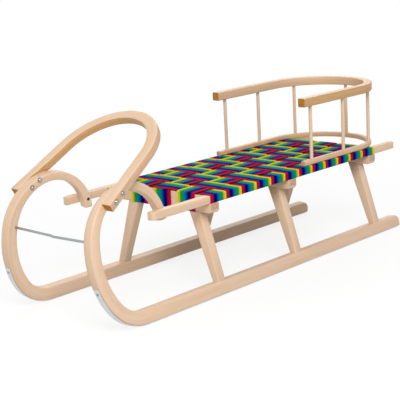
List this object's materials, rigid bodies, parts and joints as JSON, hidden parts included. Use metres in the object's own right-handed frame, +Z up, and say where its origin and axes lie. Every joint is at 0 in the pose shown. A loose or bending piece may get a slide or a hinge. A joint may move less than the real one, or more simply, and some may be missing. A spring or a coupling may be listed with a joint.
{
  "type": "wooden sled",
  "caption": "Child's horn sled of bent beech with curled runners, steel soles, a woven striped webbing seat, a bentwood bow over the curls and a rung backrest.",
  "frame": {"origin": "middle of the sled's bounding box, on the ground it stands on", "axes": "+X forwards, towards the curled ends of the runners; +Y to the sled's left; +Z up"},
  "size_m": [1.1467, 0.35, 0.4419],
  "materials": {
    "beech": "clear-varnished pale beech, satin",
    "galvanised_steel": "galvanised mild steel",
    "webbing": "woven polypropylene webbing with rainbow stripes along its length"
  },
  "bodies": {
    "root": {"runner_left": "beech", "runner_right": "beech", "leg_front_left": "beech", "leg_front_right": "beech", "leg_middle_left": "beech", "leg_middle_right": "beech", "leg_rear_left": "beech", "leg_rear_right": "beech", "cross_beam_front": "beech", "cross_beam_middle": "beech", "cross_beam_rear": "beech", "seat_rail_left": "beech", "seat_rail_right": "beech", "bow": "beech", "backrest_top_hoop": "beech", "backrest_seat_hoop": "beech", "backrest_dowel_1": "beech", "backrest_dowel_2": "beech", "backrest_dowel_3": "beech", "backrest_dowel_4": "beech", "backrest_dowel_5": "beech", "backrest_dowel_6": "beech", "backrest_dowel_7": "beech", "runner_strip_left": "galvanised_steel", "runner_strip_right": "galvanised_steel", "tow_bar": "galvanised_steel", "webbing_cross": "webbing", "webbing_long": "webbing"}
  },
  "joints": []
}
